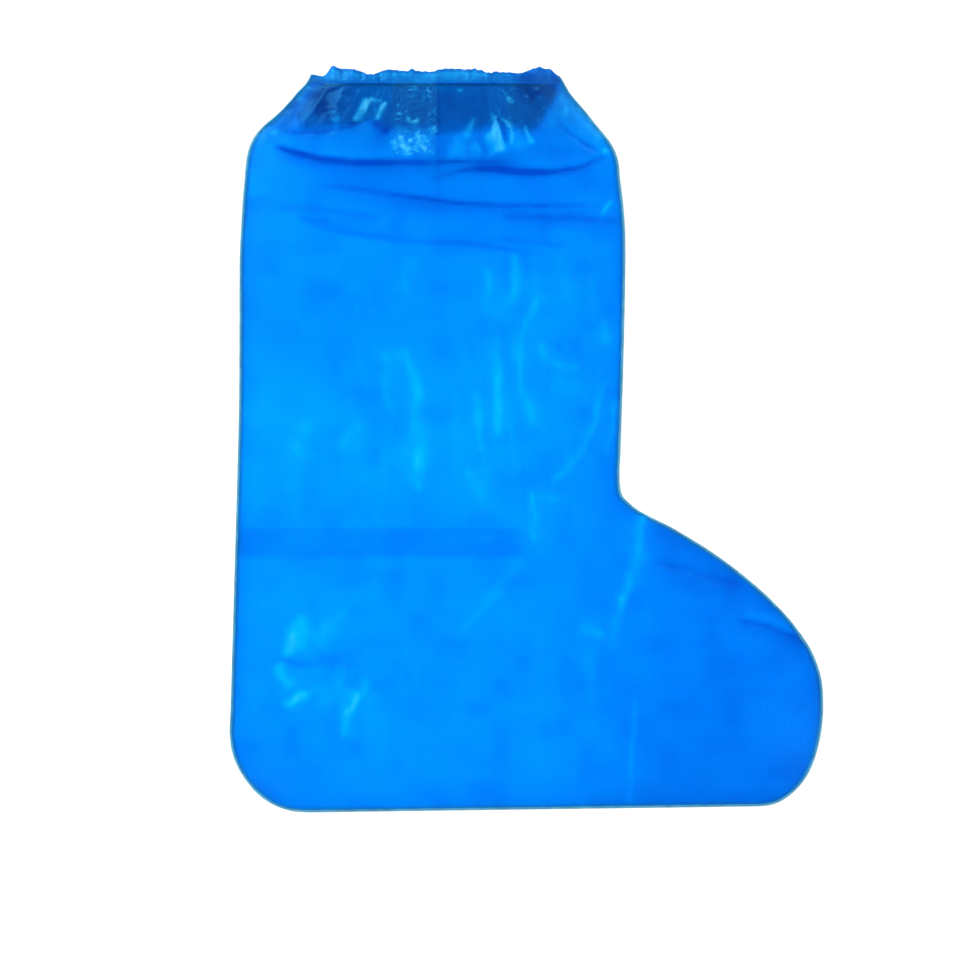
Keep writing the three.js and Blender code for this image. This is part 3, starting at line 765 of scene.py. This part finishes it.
# Painted shade on the cuff's steep flanks near the weld, strongest toward the back of the mouth
flank = ease(y, 440, 456) * (1 - ease(inside, 8, 18)) * (1 - frill)
upper["tone_and_painted_light"] -= flank * np.interp(x, [90, 180], [1.1, 0.25]) * (0.35 + 0.75 * ease(y, 452, 470))
squeezed = ease(y, 436, 442) * ease(x, 106, 112) * (1 - ease(x, BAG_FOLD - 2.5, BAG_FOLD - 0.5))
crinkle = crumpled(x, y, 3.9, 42)
on_frill = np.clip(3 * frill, 0, 1)
creased_up = (1 - on_frill) * np.maximum(cuff * crumple_share, squeezed)
upper["z"] += creased_up * (0.9 * crinkle + 0.4 * crumpled(x, y, 2.4, 44))
# Painted glints on the crumples' crests
scattered = ease(mottle(x, y, 8, 50), -0.2, 0.4)
upper["tone_and_painted_light"] += creased_up * (0.3 + 0.6 * scattered) * ease(crinkle, 0.83, 1.0)

# Below the band, painted highlights on the squeezed film make a pale tuft, narrower toward its foot
TUFT_MIDDLE, TUFT_FOOT = 125, 440
tuft_side = 14 + (y - TUFT_FOOT) * 0.3
tuft = squeezed * (1 - ease(y, 452, 462)) * (1 - ease(np.abs(x - TUFT_MIDDLE), 8, tuft_side))
upper["tone_and_painted_light"] += tuft * (0.1 + 0.3 * ease(crumpled(x, y * 0.8, 4.6, 48), 0.6, 1.0))
upper["tone_and_painted_light"] += tuft * 0.6 * ease(crumpled(x, y * 0.8, 3.1, 52), 0.82, 1.0)

# Crumpled film is cloudier: in the cuff, its tucks and steep flanks, on the frill and at the weld.
# On the flanks this cloudy teal also deepens their painted shade.
rim_tint = 1 - ease(inside, 0.5, 4)
upper["crumple"] = np.maximum(cuff * (0.15 + 0.5 * crumple_share), squeezed * 0.45)
upper["crumple"] += 0.25 * tuck_highlights + np.clip(4 * frill, 0, 1) + 0.45 * flank + rim_tint
upper["crumple"] = np.clip(upper["crumple"], 0, 1)

# The bag's upright fold goes on down the leg and gets fainter, with painted shade along it
upright = np.exp(-(((x - BAG_FOLD) / 0.9) ** 2)) * ease(y, 395, 425)
upper["z"] -= 0.5 * upright * (1 - frill)
upper["tone_and_painted_light"] -= 0.25 * upright * (0.45 + 0.55 * ease(y, 438, 450))

# The frill stands up unevenly at the gathers' crests, and ruffles along its cut edge
ruffle = 1.5 * mottle(x, y * 0.3, 4.2, 46) + 1.7 * mottle(x, y * 0.3, 9.5, 45)
uneven = np.clip(0.5 + 0.9 * mottle(x, 0 * y, 21, 51), 0.05, 1.2)
flare = 3.6 * frill * (upper_wave - 0.4) * uneven + ruffle
upper["z"] += frill * flare * off_weld(upper)
# Painted glints and shade mottle the frill, and painted shade darkens its cut edge
upper["tone_and_painted_light"] += on_frill * (0.5 * mottle(x, y * 0.35, 2.4, 47) + 0.25 * mottle(x, y, 6, 49) - 0.22)
upper["tone_and_painted_light"] -= 0.8 * ease(frill, 0.7, 0.92)

# Painted shade darkens the frill in places: the place along the mouth, and how much
FRILL_SHADE_PLACES = [
    (62, 0.1), (76, 0.35), (100, 0.5), (120, 0.2), (146, 0.0), (166, 0.35), (181, 0.45), (190, 0.8),
    (197, 1.3),
]
spots_across, amounts = np.array(FRILL_SHADE_PLACES).T
frill_shade = np.interp(x, spots_across, amounts)
upper["tone_and_painted_light"] -= frill_shade * np.clip(frill * 5, 0, 1)
upper["crumple"] -= 0.5 * np.clip(frill_shade, 0, 1) * on_frill
# Painted shade in a strip just over the elastic, at the foot of the frill
just_over = within(y, ELASTIC, ELASTIC + 0.8, ELASTIC + 1, ELASTIC + 8)
upper["tone_and_painted_light"] -= 0.8 * just_over * off_weld(upper, width=4)

# The film is ironed smooth over the elastic, and pinched on both sides of it. Painted shade over
# the elastic adds to the dark of the thread seen through the film.
row_of_elastic = int(np.argmax(upper_frill > 0)) - 1
along_elastic = np.pad(upper["z"][row_of_elastic], 8, mode="edge")
even = np.convolve(along_elastic, np.ones(17) / 17, mode="valid")
held = np.exp(-(((y - ELASTIC) / 2.2) ** 2)) * off_weld(upper)
upper["z"] += (even - upper["z"]) * held
over_elastic = np.exp(-(((y - ELASTIC) / 0.9) ** 2)) * off_weld(upper)
upper["z"] += 0.2 * over_elastic
upper["tone_and_painted_light"] -= 0.5 * over_elastic
upper["z"] = np.maximum(upper["z"], EDGE_HEIGHT)
upper_sheet = sheet_of_film("upper_sheet", upper, azure_film)
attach(upper_sheet, "root")
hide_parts("upper_panel")

# Heat weld: a hot bar has fused both sheets into a narrow rim, a little thicker and darker than
# the film, with the bar's fine cross marks. It runs from the frill round the whole boot.
WELD_WIDTH = 2.1
WELD_HEIGHT = 1.4
WELD_OVERHANG = 0.25
WELD_UNDERSIDE = 0.42


def frill_side(edge, across, inward):
    """The weld's last stretch, from the elastic up the side of the frill."""
    height = float(frill_height(np.array([across]))[0])
    return np.array([edge + inward * FRILL_INSET, MOUTH + height])


weld_course = np.vstack([
    frill_side(MOUTH_BACK, 0.0, 1), rim, frill_side(MOUTH_FRONT, 1.0, -1),
])


def swept_mesh(name, rings, closed):
    """Smooth mesh through rings of points, closed into a loop or with a cap at each end."""
    count, around = len(rings), len(rings[0])
    faces = []
    for i in range(count if closed else count - 1):
        ring, following = i * around, (i + 1) % count * around
        for j in range(around):
            beside = (j + 1) % around
            faces.append((ring + j, ring + beside, following + beside, following + j))
    if not closed:
        faces.append(tuple(range(around))[::-1])
        faces.append(tuple(range((count - 1) * around, count * around)))
    mesh = bpy.data.meshes.new(name)
    mesh.from_pydata([spot for ring in rings for spot in ring], [], faces)
    mesh.shade_smooth()
    return mesh


def weld_bead():
    """Mesh of the weld: a flattened, slightly uneven round section swept along the rim."""
    ahead = np.gradient(weld_course, axis=0)
    ahead /= np.linalg.norm(ahead, axis=1)[:, None]
    inward = np.column_stack([-ahead[:, 1], ahead[:, 0]])
    random = np.random.default_rng(51)
    width = WELD_WIDTH * (1 + 0.12 * random.uniform(-1, 1, len(weld_course)))
    height = WELD_HEIGHT * (1 + 0.15 * random.uniform(-1, 1, len(weld_course)))
    rings = []
    around = 10
    for i, place in enumerate(weld_course):
        ring = []
        for j in range(around):
            turn = 2 * math.pi * j / around
            out = (1 - math.cos(turn)) / 2 * width[i] - WELD_OVERHANG
            up = EDGE_HEIGHT + max(0.5 * height[i] * math.sin(turn), -WELD_UNDERSIDE)
            spot = place + inward[i] * out
            ring.append((HEEL_X + spot[0] / 1000, SOLE_Y + spot[1] / 1000, up / 1000))
        rings.append(ring)
    return swept_mesh("edge_seam", rings, closed=False)


def clouded_solid(name, grain_scale, dark, pale):
    """Solid matter whose colour clouds from dark to pale: its material, shader, place and grain."""
    matter = bpy.data.materials.new(name)
    matter.use_nodes = True
    tree = matter.node_tree
    solid = tree.nodes["Principled BSDF"]
    place = add_node(tree, "TexCoord").outputs["Object"]
    grain = add_node(tree, "TexNoise", Scale=grain_scale, Detail=3.0, Roughness=0.6)
    tree.links.new(place, grain.inputs["Vector"])
    tones = colour_steps(tree, grain.outputs["Fac"], [(0.3, dark), (0.7, pale)])
    tree.links.new(tones, solid.inputs["Base Color"])
    return matter, solid, place, grain.outputs["Fac"]


def fused_film():
    """Film fused into a solid rim: teal-blue, waxy, with the bar's fine cross marks."""
    fused, solid, place, cloud = clouded_solid(
        "fused_rim", grain_scale=90.0, dark=(0.02, 0.12, 0.22), pale=(0.04, 0.2, 0.31),
    )
    tree = fused.node_tree
    worn = add_node(tree, "MapRange", To_Min=0.35, To_Max=0.6)
    tree.links.new(cloud, worn.inputs["Value"])
    tree.links.new(worn.outputs["Result"], solid.inputs["Roughness"])
    solid.inputs["Specular IOR Level"].default_value = 0.35
    marks = add_node(tree, "TexVoronoi", Scale=900.0)
    tree.links.new(place, marks.inputs["Vector"])
    emboss(tree, marks.outputs["Distance"], 0.4, 0.0003, solid)
    return fused


edge_seam = bpy.data.objects.new("edge_seam", weld_bead())
bpy.context.collection.objects.link(edge_seam)
edge_seam.data.materials.append(fused_film())
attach(edge_seam, "root")
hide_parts("edge_weld")

# Hem: at the mouth the film of each sheet is turned in and caught by the elastic's seam. With the
# two sheets it makes four layers of film, which show as the dark band under the frill, and the hem
# film's deeper tint adds painted shade to that band. HEM_EDGE runs along its lower edge, and
# HEM_SIDES says where the hem starts and ends at each height.
HEM_EDGE = [
    (35.3, 453), (58.7, 453.5), (78.7, 457), (92.7, 459.7), (107.3, 450), (138.7, 448),
    (160.7, 448), (184, 450.5), (210.7, 454),
]
HEM_SIDES = [(446, 42, 206), (456, 42, 210), (466, 43, 215), (476, 49, 220), (490, 57, 223)]
HEM_OVER = 1.1
HEM_ROWS, HEM_COLUMNS = 48, 190
HEM_GAP = 0.25
ELASTIC_THICK = 0.8

hem_film = see_through_film(
    "hem_film",
    clear=[(0.0, (0.05, 0.42, 0.7)), (0.5, (0.12, 0.66, 0.8)), (1.0, (0.9, 0.99, 1.0))],
    body=[(0.0, (0.0, 0.03, 0.2)), (0.5, (0.0, 0.07, 0.3)), (1.0, (0.02, 0.3, 0.8))],
    crumpled_clear=(0.12, 0.66, 0.8),
    crumpled_body=(0.0, 0.07, 0.3),
    milk=(0.2, 0.15),
)


def turned_in(seed):
    """The hem of a sheet: rows from its uneven lower edge up to just over the elastic."""
    share = np.linspace(0, 1, HEM_COLUMNS)
    rows = np.linspace(0, 1, HEM_ROWS)[:, None]
    heights, starts, ends = np.array(HEM_SIDES).T
    places, edges = np.array(HEM_EDGE).T
    foot = starts[0] + (ends[0] - starts[0]) * share
    low = np.interp(foot, places, edges) + 0.7 * mottle(foot, 0 * foot, 6, seed)
    low += ease(foot, 120, 150) * 2.5 * mottle(foot, 0 * foot, 15, 67)
    y = low + (ELASTIC + HEM_OVER - low) * rows
    start, end = np.interp(y, heights, starts), np.interp(y, heights, ends)
    x = start + (end - start) * share
    return {"x": x, "y": y, "over_edge": y - low, "from_side": np.minimum(x - start, end - x)}


def height_of(sheet, x, y):
    """Height of a sheet above the elastic's row or below it, read off its nearest rows."""
    rows = sheet["y"][:, sheet["y"].shape[1] // 2]
    row = np.clip(np.searchsorted(rows, y), 1, len(rows) - 1)
    share = np.clip((y - rows[row - 1]) / np.maximum(rows[row] - rows[row - 1], 1e-6), 0, 1)
    columns = sheet["x"].shape[1] - 1
    start, end = sheet["x"][row, 0], sheet["x"][row, -1]
    column = np.clip((x - start) / (end - start) * columns, 0, columns - 1e-6)
    left = column.astype(int)
    part = column - left
    z = sheet["z"]
    near = z[row - 1, left] * (1 - part) + z[row - 1, left + 1] * part
    far = z[row, left] * (1 - part) + z[row, left + 1] * part
    return near * (1 - share) + far * share


for name, source, side, node, seed in (
    ("hem_under", lower, 1, "hem_lower", 61),
    ("hem_over", upper, -1, "hem_upper", 63),
):
    hem = turned_in(seed)
    x, y = hem["x"], hem["y"]
    bulge = np.exp(-(((y - ELASTIC) / 2.2) ** 2))
    lift = 0.6 + (ELASTIC_THICK + 0.7) * bulge + 0.3 * (1 + mottle(x, y, 5, seed))
    hem["z"] = height_of(source, x, y) + side * lift
    between = (height_of(lower, x, y) + height_of(upper, x, y)) / 2
    hem["z"] = side * np.minimum(side * hem["z"], side * between - HEM_GAP)
    # Random tone on the hem, paling to clear film toward its sides and lower edge, where the band's
    # painted shade ends
    hem["tone_and_painted_light"] = -0.1 + 0.2 * mottle(x, y * 0.4, 4, seed + 1)
    soft_side = np.interp(x, [70, 190], [12, 8]) + 2 * mottle(x, y, 6, 65)
    soft_edge = np.interp(x, [60, 88, 112], [9, 4, 14]) + 3 * mottle(x, y, 6, 66)
    shown = ease(hem["from_side"] / soft_side, 0, 1) * ease(hem["over_edge"] / soft_edge, 0, 1)
    hem["tone_and_painted_light"] = np.clip(hem["tone_and_painted_light"] + 1.2 * (1 - shown), -1, 1)
    hem["crumple"] = shown
    piece = sheet_of_film(name, hem, hem_film)
    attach(piece, "root")
    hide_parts(node)

# Elastic: one closed loop of thin blue rubber thread, drawn tight between the sheets and their
# hems. Its upper strand shows through the film as the dark straight line under the frill.
ELASTIC_WIDE = 1.7
LOOP_START, LOOP_END = 0.09, 0.9
LOOP_POINTS = 140
STRAND_GAP = 0.45


def strand(source, side):
    """Middle line of one strand, close to its sheet from one turn of the loop to the other."""
    across = np.linspace(LOOP_START, LOOP_END, LOOP_POINTS)
    x = MOUTH_BACK + (MOUTH_FRONT - MOUTH_BACK) * across
    y = np.full(LOOP_POINTS, ELASTIC)
    z = height_of(source, x, y - 0.01) + side * (FILM / 2 + ELASTIC_THICK / 2 + STRAND_GAP)
    return np.column_stack([x, y, z])


def elastic_loop():
    """Mesh of the loop: a flat oval section swept along both strands and round their turns."""
    over, under = strand(upper, -1), strand(lower, 1)[::-1]
    turns = []
    for start, end, way in ((over[-1], under[0], 1), (under[-1], over[0], -1)):
        angles = np.linspace(0, math.pi, 14)[1:-1]
        middle, half = (start + end) / 2, (start - end) / 2
        bow = np.outer(np.sin(angles), [way * abs(half[2]) * 0.9, 0, 0])
        turns.append(middle + np.outer(np.cos(angles), half) + bow)
    course = np.vstack([over, turns[0], under, turns[1]])
    course[:, 0], course[:, 1] = drawn_back(*course.T)
    ahead = np.roll(course, -1, axis=0) - np.roll(course, 1, axis=0)
    ahead /= np.linalg.norm(ahead, axis=1)[:, None]
    out = np.column_stack([ahead[:, 2], 0 * ahead[:, 0], -ahead[:, 0]])
    around = 12
    rings = []
    for place, normal in zip(course, out):
        ring = []
        for j in range(around):
            turn = 2 * math.pi * j / around
            spot = place + normal * math.sin(turn) * ELASTIC_THICK / 2
            spot = spot + np.array([0, math.cos(turn) * ELASTIC_WIDE / 2, 0])
            ring.append((HEEL_X + spot[0] / 1000, SOLE_Y + spot[1] / 1000, spot[2] / 1000))
        rings.append(ring)
    return swept_mesh("elastic_loop", rings, closed=True)


def rubber_thread():
    """Blue rubber thread with a fine matt grain."""
    rubber, solid, _, grain = clouded_solid(
        "rubber_thread", grain_scale=700.0, dark=(0.0, 0.02, 0.06), pale=(0.0, 0.05, 0.13),
    )
    solid.inputs["Roughness"].default_value = 0.7
    emboss(rubber.node_tree, grain, 0.3, 0.0002, solid)
    return rubber


elastic_thread = bpy.data.objects.new("elastic_thread", elastic_loop())
bpy.context.collection.objects.link(elastic_thread)
elastic_thread.data.materials.append(rubber_thread())
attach(elastic_thread, "root")
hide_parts("elastic_band")

# The table is a plain white board, lit by soft lamps on all sides, and the camera looks straight
# down on it from over the middle of the leg.
TABLE_SIZE, TABLE_TOP = 12.0, -0.0002
half = TABLE_SIZE / 2
corners = [(-half, -half), (half, -half), (half, half), (-half, half)]
table_mesh = bpy.data.meshes.new("table")
table_mesh.from_pydata([(*corner, TABLE_TOP) for corner in corners], [], [(0, 1, 2, 3)])
table = bpy.data.objects.new("table", table_mesh)
bpy.context.collection.objects.link(table)
board = bpy.data.materials.new("white_board")
board.use_nodes = True
board_tree = board.node_tree
paint = board_tree.nodes["Principled BSDF"]
paint.inputs["Roughness"].default_value = 0.9
paint.inputs["Specular IOR Level"].default_value = 0.1
shade = add_node(board_tree, "TexNoise", Scale=3.0, Detail=2.0)
whites = [(0.0, (0.9, 0.9, 0.9)), (1.0, (0.94, 0.94, 0.94))]
board_tree.links.new(
    colour_steps(board_tree, shade.outputs["Fac"], whites), paint.inputs["Base Color"],
)
table_mesh.materials.append(board)

LAMPS = [
    {"name": "lamp_back_left", "place": (-1.9, 1.2, 1.05), "size": 1.2, "watts": 105},
    {"name": "lamp_front_right", "place": (2.0, -1.0, 1.0), "size": 1.2, "watts": 80},
    {"name": "lamp_back_right", "place": (1.4, 1.9, 1.0), "size": 1.1, "watts": 62},
    {"name": "lamp_front_left", "place": (-1.5, -1.9, 1.0), "size": 1.1, "watts": 62},
]
for row in LAMPS:
    light = bpy.data.lights.new(row["name"], "AREA")
    light.size = row["size"]
    light.energy = row["watts"]
    lamp = bpy.data.objects.new(row["name"], light)
    bpy.context.collection.objects.link(lamp)
    lamp.location = row["place"]
    aim = -lamp.location
    lamp.rotation_euler = aim.to_track_quat("-Z", "Y").to_euler()

# The room is pale near the horizon and dark overhead, so that nothing veils the film's blue
room = bpy.data.worlds.new("room")
bpy.context.scene.world = room
room.use_nodes = True
room_tree = room.node_tree
heaven = add_node(room_tree, "TexCoord").outputs["Generated"]
split = add_node(room_tree, "SeparateXYZ")
room_tree.links.new(heaven, split.inputs["Vector"])
greys = [(0.0, (1.0, 1.0, 1.0)), (0.3, (1.0, 1.0, 1.0)), (0.55, (0.02, 0.02, 0.02))]
room_tree.links.new(
    colour_steps(room_tree, split.outputs["Z"], greys),
    room_tree.nodes["Background"].inputs["Color"],
)

scene = bpy.context.scene
scene.view_settings.view_transform = "Standard"
scene.cycles.transparent_max_bounces = 32
scene.cycles.max_bounces = 6
scene.cycles.use_light_tree = False
lens = bpy.data.cameras.new("camera")
lens.lens = 85.0
lens.sensor_width = 36.0
camera = bpy.data.objects.new("camera", lens)
bpy.context.collection.objects.link(camera)
camera.location = (-0.03064, -0.02714, EYE_HEIGHT / 1000)
scene.camera = camera
